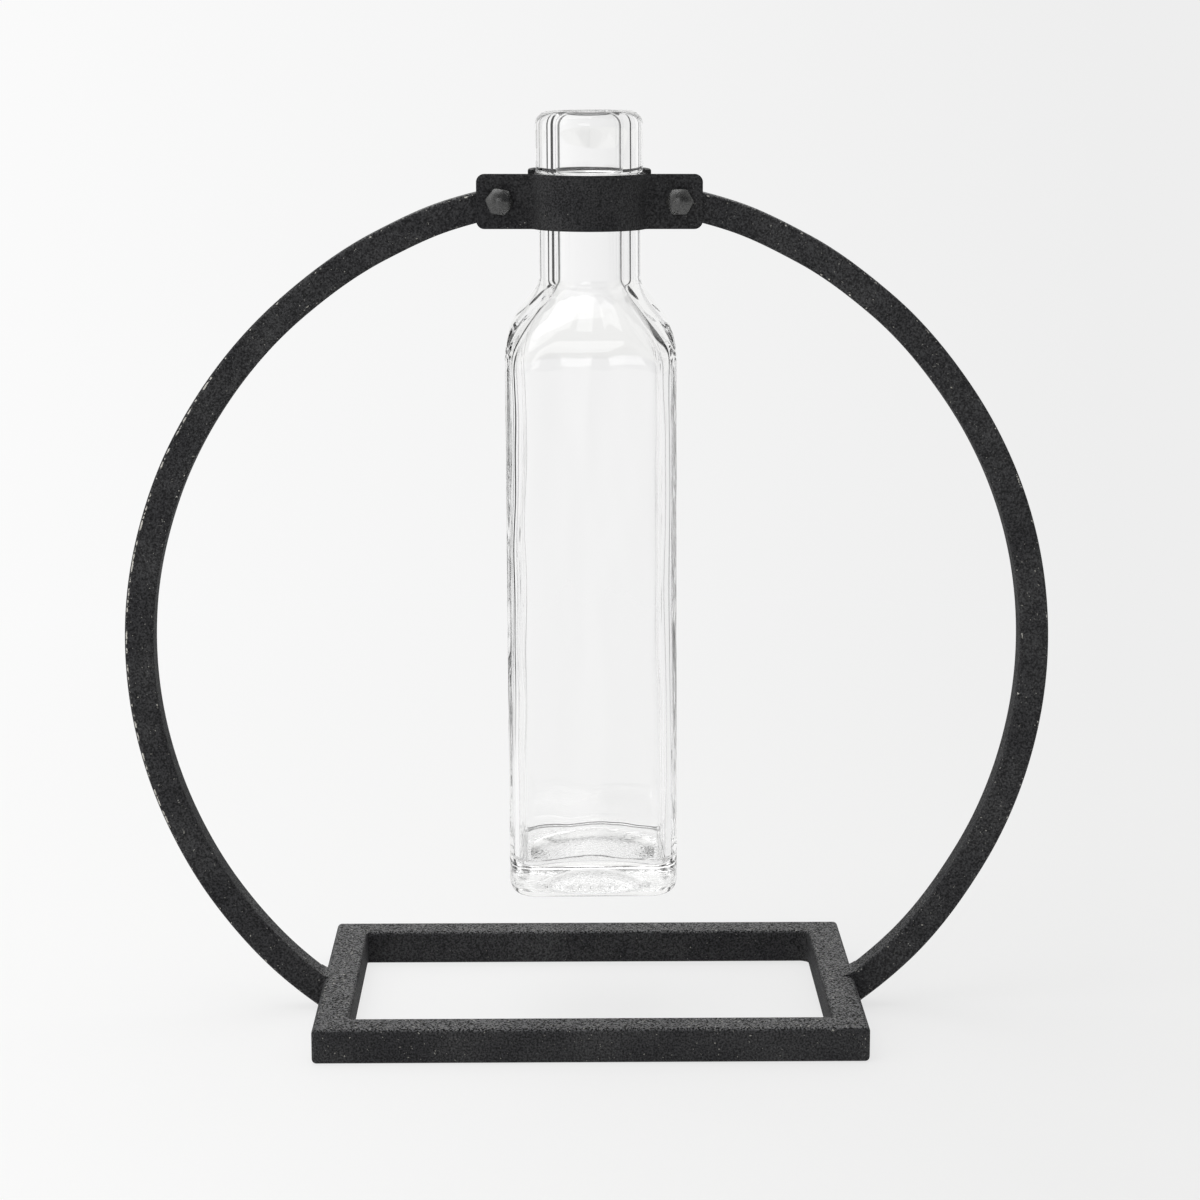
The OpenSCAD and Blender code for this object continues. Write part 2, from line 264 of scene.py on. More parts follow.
def texturedPowderCoat(name, look):
    # matt black textured powder coat over steel: sandy grain with painted top light on faces that lay
    # upwards, painted glints as bright specks on its peaks, and small chips where the attribute edgeWear
    # marks a knocked edge
    material, tree, output = newMaterial(name)
    place = addNode(tree, 'ShaderNodeTexCoord')
    upright, upward = look["upright"], look["upward"]
    normal = addNode(tree, 'ShaderNodeNewGeometry')
    normal = addNode(tree, 'ShaderNodeSeparateXYZ', {}, {0: (normal, 'Normal')})
    facing = addNode(tree, 'ShaderNodeMapRange', {
        'From Min': look["facing"][0], 'From Max': look["facing"][1]}, {'Value': (normal, 'Z')})

    grain = noiseTexture(tree, place, look["grain"], 1.5, 0.6)
    patches = noiseTexture(tree, place, look["patch"], 3.0)
    darkAt, lightAt = look["patches"]
    tone = addRamp(tree, patches, [(darkAt, linear(look["dark"])), (lightAt, linear(look["light"]))])
    # painted top light: faces that lay upwards get the lighter, more contrasty sand
    sandAndFacingLight = mixColours(tree, (facing, 0), (greyRamp(tree, grain, upright["sandAndFacingLight"]), 0),
                      (greyRamp(tree, grain, upward["sandAndFacingLight"]), 0))
    colour = addNode(tree, 'ShaderNodeMix', {'data_type': 'RGBA', 'blend_type': 'MULTIPLY', 0: 1.0},
                     {6: (tone, 0), 7: (sandAndFacingLight, 2)})

    # painted glints: grains whose noise is high get a bright colour, and faces that lay upwards get more of
    # them, as if lit from above
    peaks = noiseTexture(tree, place, look["speck"], 1.0)
    peaks = addNode(tree, 'ShaderNodeMath', {'operation': 'MULTIPLY_ADD', 1: look["moreSpecks"]},
                    {0: (facing, 0), 2: (peaks, 0)})
    specks = greyRamp(tree, peaks, [(look["specks"], 0), (look["specks"] + look["speckRim"], 1)])
    colour = mixColours(tree, (specks, 0), (colour, 2), linear(look["glintSpeck"]))

    flakes = noiseTexture(tree, place, look["chip"], 4.0, 0.7)
    wear = addNode(tree, 'ShaderNodeAttribute', {'attribute_name': "edgeWear"})
    loose = addNode(tree, 'ShaderNodeMath', {'operation': 'MULTIPLY_ADD', 1: look["wear"]},
                    {0: (wear, 'Fac'), 2: (flakes, 0)})
    chipped = greyRamp(tree, loose, look["chips"])
    colour = mixColours(tree, (chipped, 0), (colour, 2), linear(look["bare"]))

    shine = mixColours(tree, (facing, 0), (greyRamp(tree, grain, upright["shine"]), 0),
                       (greyRamp(tree, grain, upward["shine"]), 0))
    roughness = addNode(tree, 'ShaderNodeMapRange', {
        'To Min': upright["roughness"], 'To Max': upward["roughness"]}, {'Value': (facing, 0)})
    bump = addNode(tree, 'ShaderNodeBump', {'Strength': 1.0, 'Distance': look["height"]},
                   {'Height': (grain, 0)})
    shader = addNode(tree, 'ShaderNodeBsdfPrincipled', {}, {
        'Base Color': (colour, 2), 'Roughness': (roughness, 0),
        'Specular IOR Level': (shine, 2), 'Normal': (bump, 0)})
    tree.links.new(shader.outputs[0], output.inputs[0])
    return material


def markPlaces(piece, name, amount):
    # float attribute on the vertices, for the materials to read: amount says how much at each place
    marks = piece.data.attributes.new(name, 'FLOAT', 'POINT')
    for vertex, mark in zip(piece.data.vertices, marks.data):
        mark.value = amount(vertex.co)


glass = {
    "colour": "#fefefe", "ior": 1.5,
    "stipple": 0.8 * mm, "depth": 0.18 * mm,     # grain that the mould leaves under the bottle
}


def pressedClearGlass():
    # clear pressed glass: sharp dark and bright lines where it is thick, and a stippled underside
    # where the attribute stipple marks it
    material, tree, output = newMaterial("clear_pressed_glass")
    place = addNode(tree, 'ShaderNodeTexCoord')
    grain = noiseTexture(tree, place, glass["stipple"], 1.0)
    under = addNode(tree, 'ShaderNodeAttribute', {'attribute_name': "stipple"})
    bump = addNode(tree, 'ShaderNodeBump', {'Distance': glass["depth"]},
                   {'Height': (grain, 0), 'Strength': (under, 'Fac')})
    shader = addNode(tree, 'ShaderNodeBsdfPrincipled', {
        'Base Color': linear(glass["colour"]), 'Roughness': 0.0, 'IOR': glass["ior"],
        'Transmission Weight': 1.0}, {'Normal': (bump, 0)})
    tree.links.new(shader.outputs[0], output.inputs[0])
    return material


frameCoat = texturedPowderCoat("textured_powder_coat", coat)
# the strip of the collar has a finer, darker coat
collarCoat = texturedPowderCoat("textured_powder_coat_collar", {
    **coat, "dark": "#262628", "light": "#323233",
    "grain": 0.55 * mm, "specks": 0.76, "height": 0.3 * mm})
# smoother paint on the bolts and nuts, with a soft sheen
boltPaint = texturedPowderCoat("painted_bolt_steel", {
    **coat, "dark": "#2a2a2a", "light": "#363635",
    "grain": 0.45 * mm, "specks": 0.8, "height": 0.06 * mm,
    "upright": {**coat["upright"], "shine": ((0.38, 0.8), (0.64, 1.0)), "roughness": 0.26},
    "upward": {**coat["upward"], "roughness": 0.26}})
bottleGlass = pressedClearGlass()
print("Materials made")


# Base frame: four bars of square steel, welded at the corners and ground

leftLow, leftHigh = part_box("base_left_bar")
rightLow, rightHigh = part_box("base_right_bar")
bar = {
    "side": leftHigh.z,
    "edge": 1.5 * mm,        # rounding of the drawn bar
    "edgeRows": 5,
    "groundEdge": 0.5 * mm,  # what is left of it where the right front corner was ground flat
    "scallop": 4 * mm,       # length over which the rounding runs out there
    "scallopEnd": 1 * mm,    # it comes back from this far before the end of the bar
    "comeBack": 1.2 * mm,
    "slices": 10,            # 1 mm apart, for the scallop to bend
}
jointX = rightLow.x          # inner face of the right side bar
jointY = rightHigh.y - bar["side"]


def groundCorner(co):
    # right front corner: the grinder left the top edge nearly sharp, and the rounding runs out in
    # a scallop
    centre = Vector((co.x, rightLow.y + bar["edge"], bar["side"] - bar["edge"]))
    if co.x < jointX + hair or co.y > centre.y - touch or co.z < centre.z + touch:
        return co
    fromEnd = rightHigh.x - bar["scallopEnd"] - co.x
    share = ease((co.x - jointX) / bar["scallop"]) * ease(fromEnd / bar["comeBack"])
    sharp = centre + Vector((0, -1, 1)) * (bar["edge"] - bar["groundEdge"])
    return co.lerp(sharp + (co - centre) * (bar["groundEdge"] / bar["edge"]), share)


def baseBar(name, node, lengthAxis, ground=False):
    low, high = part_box(node)
    piece = cubeBetween(name, low, high)

    def rounded(edge):
        # all the long edges, and on the side bars also the upright edges at their free ends
        spot = middle(edge)
        length = abs((edge.verts[0].co - edge.verts[1].co)[lengthAxis])
        free = lengthAxis == 1 and abs(spot.x) > jointX + hair and abs(spot.y) > rightHigh.y - hair
        return length > bar["side"] * 1.5 or free

    editMode()
    pick('EDGE', rounded)
    bpy.ops.mesh.bevel(offset=bar["edge"], segments=bar["edgeRows"], affect='EDGES')
    for x in range(1, bar["slices"] + 1 if ground else 1):
        selectAll()
        bpy.ops.mesh.bisect(plane_co=(jointX + x * mm, 0, 0), plane_no=(1, 0, 0))
    objectMode()
    if ground:
        moveMesh(piece, groundCorner)
    cleanUp()
    return finishPiece(piece, [node], "frame", frameCoat)


baseBar("left_side_bar", "base_left_bar", 1)
baseBar("right_side_bar", "base_right_bar", 1, ground=True)
baseBar("front_bar", "base_front_bar", 0)
baseBar("rear_bar", "base_rear_bar", 0)


# Corner welds: a ground fill that carries each end bar's rounding across the joint, and a small
# hollow fillet in the inner corner that carries it round

weld = {
    # side and fillet of each corner: front left, front right, rear right, rear left
    "corners": (((-1, -1), 1.3 * mm), ((1, -1), 1.2 * mm), ((1, 1), 3.0 * mm), ((-1, 1), 1.0 * mm)),
    "under": 0.012 * mm,     # the fill lies this far under the faces of the bars
    "before": 0.2 * mm,      # it starts this far before the joint
    "past": 0.4 * mm,        # and ends this far past the side bar's rounding
    "turnRows": 14,
}


def cornerWeld(name, sideX, sideY, fillet):
    under = weld["under"]
    # the fill: a slice of the bar's own section
    piece = cubeBetween(name, (jointX - weld["before"], jointY + under, under),
                        (jointX + bar["edge"] + weld["past"], rightHigh.y - under, bar["side"] - under))
    editMode()
    pick('EDGE', lambda e: abs(e.verts[0].co.x - e.verts[1].co.x) > hair)
    bpy.ops.mesh.bevel(offset=bar["edge"], segments=bar["edgeRows"], affect='EDGES')
    objectMode()
    # the fillet: the rounded inner edge of the bar, turned through the corner
    centre = Vector((jointX - fillet, jointY - fillet, 0))
    width = (fillet + bar["edge"]) * math.sqrt(2) - fillet
    clearSelection()
    bpy.ops.mesh.primitive_plane_add(
        size=1, location=(jointX + under + width / 2, centre.y, bar["side"] / 2),
        rotation=(math.pi / 2, 0, 0))
    bpy.context.object.scale = (width, bar["side"] - 2 * under, 1)
    inner = settle("fillet")
    editMode()
    pick('VERT', lambda v: v.co.x < jointX + hair)
    bpy.ops.mesh.bevel(offset=min(bar["edge"], width * 0.9), segments=bar["edgeRows"], affect='VERTICES')
    selectAll()
    spinPicked(-90, centre, (0, 0, 1), weld["turnRows"])
    objectMode()
    cleanUp()
    cutOut(piece, inner, 'UNION')
    moveMesh(piece, lambda co: Vector((co.x * sideX, co.y * sideY, co.z)))
    cleanUp()
    return piece


corners = joinPieces("corner_welds_ground", [
    cornerWeld("corner_weld_" + str(i), x, y, fillet)
    for i, ((x, y), fillet) in enumerate(weld["corners"])])
finishPiece(corners, ["corner_welds"], "frame", frameCoat)


# Hoop: one bent square bar, cut where the collar's rear half is welded in

armLow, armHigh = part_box("hoop_left_arm")
hoop = {
    "bar": armHigh.y - armLow.y,
    "edge": 1.2 * mm,
    "edgeRows": 5,
    "radius": -armLow.x,                     # outer radius
    "foot": -leftLow.x,                      # half-width of the base, where the arms end
    "collar": 19.7 * mm,                     # half-width of the collar's rear half, where they start
    "turn": 150,                             # degrees of each arm before its foot is cut
    "turnRows": 150,
    # how far the hand-bent bar strays outwards from its circle, in mm, against the angle from +X
    "stray": ((-45, -0.1), (-30, -0.9), (-10, -1.15), (10, -1.2), (35, -1.3), (50, -0.7),
              (62, 0.0), (72, 0.7), (108, 0.7), (117, 0.1), (130, -0.45), (145, -0.55),
              (160, -0.3), (175, 0), (185, 0), (205, -0.1), (215, 0.05), (228, 0.4)),
    # wear of its edges: most on the left, outside, from the lower to the upper of these heights
    "handled": (0.06, 0.215), "handledWear": 0.95, "outerWear": 0.62, "innerWear": 0.55,
    "rim": 0.02 * mm,                        # the flats, up to this far into the roundings, have none
    "knocked": 0.3,                          # share of a rounding, from the front or back, that is worn
}
hoop["middle"] = hoop["radius"] - hoop["bar"] / 2
hoop["height"] = armLow.z + math.sqrt(hoop["radius"] ** 2 - hoop["foot"] ** 2)
hole = {"x": 28.7 * mm, "rise": 1.1 * mm, "radius": 2.75 * mm, "cut": 30 * mm}
hole["z"] = hoop["height"] + math.sqrt(hoop["middle"] ** 2 - hole["x"] ** 2) + hole["rise"]


def boltCutter(x, y):
    clearSelection()
    bpy.ops.mesh.primitive_cylinder_add(vertices=48, radius=hole["radius"], depth=hole["cut"],
                                        location=(x, y, hole["z"]), rotation=(math.pi / 2, 0, 0))
    return settle("cutter")


def reachOf(co):
    # distance from the axis of the hoop
    return math.hypot(co.x, co.z - hoop["height"])


def strayAt(co):
    angle = math.degrees(math.atan2(co.z - hoop["height"], co.x))
    angle = angle + 360 if angle < -90 else angle
    stray = hoop["stray"][0][1]
    for (a, low), (b, high) in zip(hoop["stray"], hoop["stray"][1:]):
        if angle > a:
            stray = low + (high - low) * ease((angle - a) / (b - a))
    return stray * mm


def handBent(co):
    # moves a point of the hoop along its radius by the stray of the bar at that angle
    out = strayAt(co) / reachOf(co)
    return Vector((co.x * (1 + out), co.y, co.z + (co.z - hoop["height"]) * out))


def hoopWear(co):
    # knocks on the bar's roundings, next to its front and back faces
    reach = reachOf(co) - strayAt(co)
    across = hoop["bar"] / 2 - abs(co.y)
    outside, inside = hoop["radius"] - reach, reach - hoop["radius"] + hoop["bar"]
    if not hoop["rim"] < across < hoop["edge"] * hoop["knocked"]:
        return 0
    if hoop["rim"] < outside < hoop["edge"] - hoop["rim"]:
        low, high = hoop["handled"]
        return hoop["handledWear"] if co.x < 0 and low < co.z < high else hoop["outerWear"]
    return hoop["innerWear"] if hoop["rim"] < inside < hoop["edge"] - hoop["rim"] else 0


def hoopArm(name, side):
    clearSelection()
    bpy.ops.mesh.primitive_plane_add(
        size=hoop["bar"], location=(0, 0, hoop["height"] + hoop["middle"]), rotation=(0, math.pi / 2, 0))
    piece = settle(name)
    editMode()
    selectAll()
    bpy.ops.mesh.bevel(offset=hoop["edge"], segments=hoop["edgeRows"], affect='VERTICES')
    selectAll()
    spinPicked(-side * hoop["turn"], (0, 0, hoop["height"]), (0, 1, 0), hoop["turnRows"])
    objectMode()
    moveMesh(piece, handBent)
    editMode()
    selectAll()
    bpy.ops.mesh.bisect(plane_co=(side * hoop["collar"], 0, 0), plane_no=(side, 0, 0), use_fill=True,
                        clear_inner=True, clear_outer=False)
    objectMode()
    # below the middle of the hoop, what runs inside the base is cut off
    cutOut(piece, cubeBetween("cutter", (-hoop["foot"], -hoop["bar"], -hoop["radius"]),
                              (hoop["foot"], hoop["bar"], hoop["height"])))
    cleanUp()
    cutOut(piece, boltCutter(side * hole["x"], 0))
    markPlaces(piece, "edgeWear", hoopWear)
    return finishPiece(piece, ["hoop_left_arm" if side < 0 else "hoop_right_arm"], "frame",
                       frameCoat)


hoopArm("left_hoop_arm", -1)
hoopArm("right_hoop_arm", 1)


# Foot welds: a hollow fillet from the hoop onto the side bar

foot = {
    "leg": 4.1 * mm, "width": hoop["bar"] - 0.1 * mm, "edge": 1.2 * mm,
    "into": 1.5 * mm, "over": 5 * mm,        # it reaches this far into the side bar, and above it
    "past": 1.2 * mm,                        # and this far past the side bar
    "sunk": 0.1 * mm,
}


def footWeld(name, side):
    inner = hoop["radius"] - hoop["bar"]
    top = bar["side"]
    slope = math.acos((hoop["height"] - top) / inner)
    faceR = foot["leg"] / math.tan(slope / 2)
    centreR = inner - faceR
    centreZ = top + faceR
    centreX = math.sqrt(centreR ** 2 - (hoop["height"] - centreZ) ** 2)
    touchX = centreX * inner / centreR
    piece = cubeBetween(name, (centreX, -foot["width"] / 2, top - foot["into"]),
                        (hoop["foot"] + foot["past"], foot["width"] / 2, top + foot["over"]))
    clearSelection()
    bpy.ops.mesh.primitive_cylinder_add(vertices=128, radius=faceR, depth=3 * foot["width"],
                                        location=(centreX, 0, centreZ), rotation=(math.pi / 2, 0, 0))
    cutOut(piece, settle("cutter"))
    cutOut(piece, cubeBetween("cutter", (touchX, -foot["width"], 0),
                              (touchX + foot["width"], foot["width"], top + foot["width"])))
    cleanUp()
    roundEdges(piece, foot["edge"], 4, 35)
    # it is sunk a little, and follows the bar where that was bent by hand
    moveMesh(piece, lambda co: handBent(Vector((co.x * side, co.y, co.z - foot["sunk"]))))
    cleanUp()
    return piece


feet = joinPieces("hoop_foot_welds", [
    footWeld("foot_weld_left", -1), footWeld("foot_weld_right", 1)])
finishPiece(feet, ["foot_welds"], "frame", frameCoat)


# Collar: a rear half welded between the arms, and a bolted front strap

rearLow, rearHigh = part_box("collar_rear_half")
strapLow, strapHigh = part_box("collar_front_strap")
collar = {
    "bore": 16.8 * mm, "rear": 2.9 * mm, "strap": 1.6 * mm,
    "spread": 2 * mm,        # the half circle of each half has its centre this far from the axis
    "bend": 2 * mm,          # outer radius of the bends beside the ears
    "earCorner": 2.6 * mm,
    "edge": 0.4 * mm,        # sheared edges, softened by the coat
    "lip": 1.4 * mm,         # outside the bead the rear half stands this much higher
    "lipInside": 17.75 * mm, "lipRoot": 2 * mm,
    "rearRows": 48, "strapRows": 56, "bendRows": 12, "earRows": 8,
}


def uBand(name, inner, low, high):
    outer = collar["bore"] + collar["rear"]
    piece = cubeBetween(name, (-outer, rearLow.y, low), (-inner, collar["spread"], high))
    editMode()
    pick('FACE', lambda f: f.normal.y > 0.9)
    spinPicked(180, (0, collar["spread"], 0), (0, 0, 1), collar["rearRows"])
    # the spin ends on the right, from where the leg comes forward again
    extrudePicked(0, rearLow.y - collar["spread"])
    objectMode()
    cleanUp()
    return piece


def rearHalf():
    piece = uBand("collar_rear_half_band", collar["bore"], rearLow.z, rearHigh.z)
    lip = uBand("lip", collar["lipInside"], rearHigh.z - collar["lipRoot"], rearHigh.z + collar["lip"])
    cutOut(piece, lip, 'UNION')
    cleanUp()
    roundEdges(piece, collar["edge"], 3, 50)
    return finishPiece(piece, ["collar_rear_half"], "frame", collarCoat)


def frontStrap():
    outer = collar["bore"] + collar["strap"]
    earFront = strapHigh.y - collar["strap"]
    bendReach = outer + collar["bend"]
    drop = -collar["spread"] - earFront + collar["bend"]
    bendX = math.sqrt(bendReach ** 2 - drop ** 2)
    bendY = earFront - collar["bend"]
    bendAngle = 90 - math.degrees(math.atan2(drop, bendX))
    piece = cubeBetween("collar_strap_with_ears",
                        (strapLow.x, earFront, strapLow.z), (-bendX, strapHigh.y, strapHigh.z))
    editMode()
    pick('FACE', lambda f: f.normal.x > 0.9)
    spinPicked(bendAngle, (-bendX, bendY, 0), (0, 0, 1), collar["bendRows"])
    spinPicked(-2 * bendAngle, (0, -collar["spread"], 0), (0, 0, 1), collar["strapRows"])
    spinPicked(bendAngle, (bendX, bendY, 0), (0, 0, 1), collar["bendRows"])
    extrudePicked(strapHigh.x - bendX, 0)
    # round corners on the ears
    pick('EDGE', lambda e: abs(abs(middle(e).x) - strapHigh.x) < hair
         and abs(e.verts[0].co.y - e.verts[1].co.y) > collar["strap"] / 2)
    bpy.ops.mesh.bevel(offset=collar["earCorner"], segments=collar["earRows"], affect='EDGES')
    objectMode()
    cleanUp()
    for side in (-1, 1):
        cutOut(piece, boltCutter(side * hole["x"], earFront))
    roundEdges(piece, collar["edge"], 3, 50)
    return finishPiece(piece, ["collar_front_strap"], "frame", collarCoat)


rearHalf()
frontStrap()


# Collar welds: a flared band of weld round the end of each arm, on the rear half

flare = {
    "leg": 3.2 * mm,
    "rows": 7,
    "under": 0.2 * mm,       # where it starts, it lies this far inside the faces of the arm
    "edgeRows": 4,
}


def collarWeld(name, side):
    leg, rows = flare["leg"], flare["rows"]
    half = hoop["bar"] / 2 - flare["under"]
    endZ = hoop["height"] + math.sqrt(hoop["middle"] ** 2 - hoop["collar"] ** 2)
    clearSelection()
    bpy.ops.mesh.primitive_plane_add(
        size=2 * half, location=(hoop["collar"] + leg, 0, endZ), rotation=(0, math.pi / 2, 0))
    piece = settle(name)
    editMode()
    selectAll()
    bpy.ops.mesh.bevel(offset=hoop["edge"], segments=flare["edgeRows"], affect='VERTICES')
    size, reached = 1, 0
    for i in range(1, rows + 1):
        # the last ring's face is drawn out towards the collar and grows as it goes
        angle = i / rows * math.pi / 2
        pick('FACE', lambda f: len(f.verts) > 8
             and abs(middle(f).x - (hoop["collar"] + leg - reached)) < touch)
        extrudePicked(reached - leg * math.sin(angle), 0)
        reached = leg * math.sin(angle)
        grown = (half + leg * (1 - math.cos(angle))) / half
        bpy.ops.transform.resize(value=(1, grown / size, grown / size),
                                 center_override=(hoop["collar"], 0, endZ))
        size = grown
    objectMode()
    # it is cut flat in front, where the ear of the strap lies
    moveMesh(piece, lambda co: Vector((co.x * side, max(co.y, rearLow.y), co.z)))
    cleanUp()
    return piece


flares = joinPieces("collar_weld_beads", [
    collarWeld("collar_weld_left", -1), collarWeld("collar_weld_right", 1)])
finishPiece(flares, ["collar_welds"], "frame", collarCoat)


# Bolts and nuts

boltLow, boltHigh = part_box("clamp_bolts")
nutLow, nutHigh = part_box("clamp_nuts")
bolt = {
    "flats": 8 * mm, "head": 3.6 * mm, "dome": 5.8 * mm, "edge": 0.2 * mm,
    "thread": 2.5 * mm,      # radius
    "threadGap": 0.03 * mm, "tip": 0.6 * mm,
    "crown": 0.44,           # radius of the flat inside the turned-off corners, by the flats
    "slant": 0.6,            # slope of the corners' cone
    "turns": (8.5, 0), "nutTurns": (22, -9),     # degrees, left and right
}


def hexBlock(name, height):
    # upright hexagon with its corners turned off by a cone
    corner = bolt["flats"] / 2 / math.cos(math.radians(30))
    clearSelection()
    bpy.ops.mesh.primitive_cylinder_add(vertices=6, radius=corner, depth=height,
                                        location=(0, 0, height / 2))
    piece = settle(name)
    wide, slant = corner * 3, bolt["slant"]
    clearSelection()
    bpy.ops.mesh.primitive_cone_add(
        vertices=96, radius1=wide, radius2=0, depth=wide * slant,
        location=(0, 0, height - bolt["flats"] * bolt["crown"] * slant + wide / 2 * slant))
    cutOut(piece, settle("cutter"), 'INTERSECT')
    return piece


def layDown(piece, tilt, turn, x, y):
    # from upright at the origin to its hole: tilt about X after turn about its own axis, in degrees
    turnBy = Matrix.Rotation(math.radians(tilt), 4, 'X') @ Matrix.Rotation(math.radians(turn), 4, 'Z')
    moveMesh(piece, lambda co: turnBy @ co + Vector((x, y, hole["z"])))
    cleanUp()
    return piece


def hexBolt(name, x, turn):
    head = hexBlock(name, bolt["head"])
    clearSelection()
    bpy.ops.mesh.primitive_uv_sphere_add(segments=96, ring_count=48, radius=bolt["dome"],
                                         location=(0, 0, bolt["head"] - bolt["dome"]))
    cutOut(head, settle("cutter"), 'INTERSECT')
    roundEdges(head, bolt["edge"], 3, 25)
    length = boltHigh.y - boltLow.y - bolt["head"]
    clearSelection()
    bpy.ops.mesh.primitive_cylinder_add(vertices=48, radius=bolt["thread"], depth=length,
                                        location=(0, 0, -length / 2))
    shank = settle("shank")
    editMode()
    pick('EDGE', lambda e: abs(middle(e).z + length) < touch)
    bpy.ops.mesh.bevel(offset=bolt["tip"], segments=2, affect='EDGES')
    objectMode()
    cutOut(head, shank, 'UNION')
    return layDown(head, 90, 30 - turn, x, boltLow.y + bolt["head"])


def hexNut(name, x, turn):
    nut = hexBlock(name, nutHigh.y - nutLow.y)
    clearSelection()
    bpy.ops.mesh.primitive_cylinder_add(vertices=48, radius=bolt["thread"] + bolt["threadGap"],
                                        depth=hole["cut"])
    cutOut(nut, settle("cutter"))
    roundEdges(nut, bolt["edge"], 2, 40)
    return layDown(nut, -90, turn, x, nutLow.y)


bolts = joinPieces("hex_bolts", [hexBolt("bolt_left", -hole["x"], bolt["turns"][0]),
                                 hexBolt("bolt_right", hole["x"], bolt["turns"][1])])
finishPiece(bolts, ["clamp_bolts"], "frame", boltPaint)
nuts = joinPieces("hex_nuts", [hexNut("nut_left", -hole["x"], bolt["nutTurns"][0]),
                               hexNut("nut_right", hole["x"], bolt["nutTurns"][1])])
finishPiece(nuts, ["clamp_nuts"], "frame", boltPaint)


# Bottle: a lathed half-section whose body is then pushed out into a square

bottleLow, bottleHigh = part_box("glass_bottle")
bottle = {
    # half-widths and radii
    "half": bottleHigh.x, "corner": 9 * mm, "neck": 16.45 * mm, "bead": 17.3 * mm, "bore": 10.9 * mm,
    # lengths upwards
    "shoulder": 29.8 * mm, "neckLength": 33.6 * mm, "beadHeight": 19.8 * mm,
    # roundings: under the body, inside it, under the bead, outside and inside the mouth
    "heel": 5 * mm, "innerHeel": 3.2 * mm, "beadFoot": 0.8 * mm, "rim": 4.4 * mm, "lip": 1.3 * mm,
    "wall": 3.3 * mm, "floor": 12.2 * mm, "floorRise": 2.4 * mm, "punt": 18.5 * mm, "puntDepth": 4.6 * mm,
    # how early the outside and the inside of the shoulder turn in
    "outerBend": 2, "innerBend": 1.5,
    # steps in width and height from the neck out to the bead
    "neckSteps": ((0, -0.3 * mm), (0.1 * mm, -0.05 * mm), (0.3 * mm, 0)),
    # rings between the push-up and the heel, and which of them have pips
    "standing": ((0.15, 0), (0.4, 2), (0.65, 2), (0.85, 0)),
    "dots": 51, "dotHeight": 0.22 * mm,      # small pips on the ring that it would stand on
    "turnRows": 256,
    "rows": {"punt": 12, "heel": 8, "body": 50, "shoulder": 40, "neck": 10, "bore": 20,
             "beadFoot": 5, "bead": 6, "rim": 12, "lip": 8, "floor": 12},
    # the walls ripple inside: depth, turns and height of a ripple, and a finer one over it
    "wave": 0.75 * mm, "waveTurns": 2.2, "waveHeight": 0.05, "fineWave": 0.35, "fineTurns": 2.3,
    "waveFade": 6 * mm,
    # the floor is a dome, up to domeTop over it, and the walls take it up over domeFade
    "domeTop": 16 * mm, "domeFade": 12 * mm,
    "stippleTop": 1.2 * mm, "stippleReach": 23 * mm,     # above the push-up, and out from the axis
    "lean": 0.3, "pivot": 0.272,             # degrees out of plumb, from a point inside the collar
}
beadZ = bottleHigh.z - bottle["beadHeight"]
neckZ = beadZ - bottle["neckLength"]
shoulderZ = neckZ - bottle["shoulder"]


def shoulderRing(t, below, above, bend, corner):
    # half-width and corner radius part of the way up the shoulder
    width = below - (below - above) * ease(t ** bend)
    return width, corner + (width - corner) * ease(t)


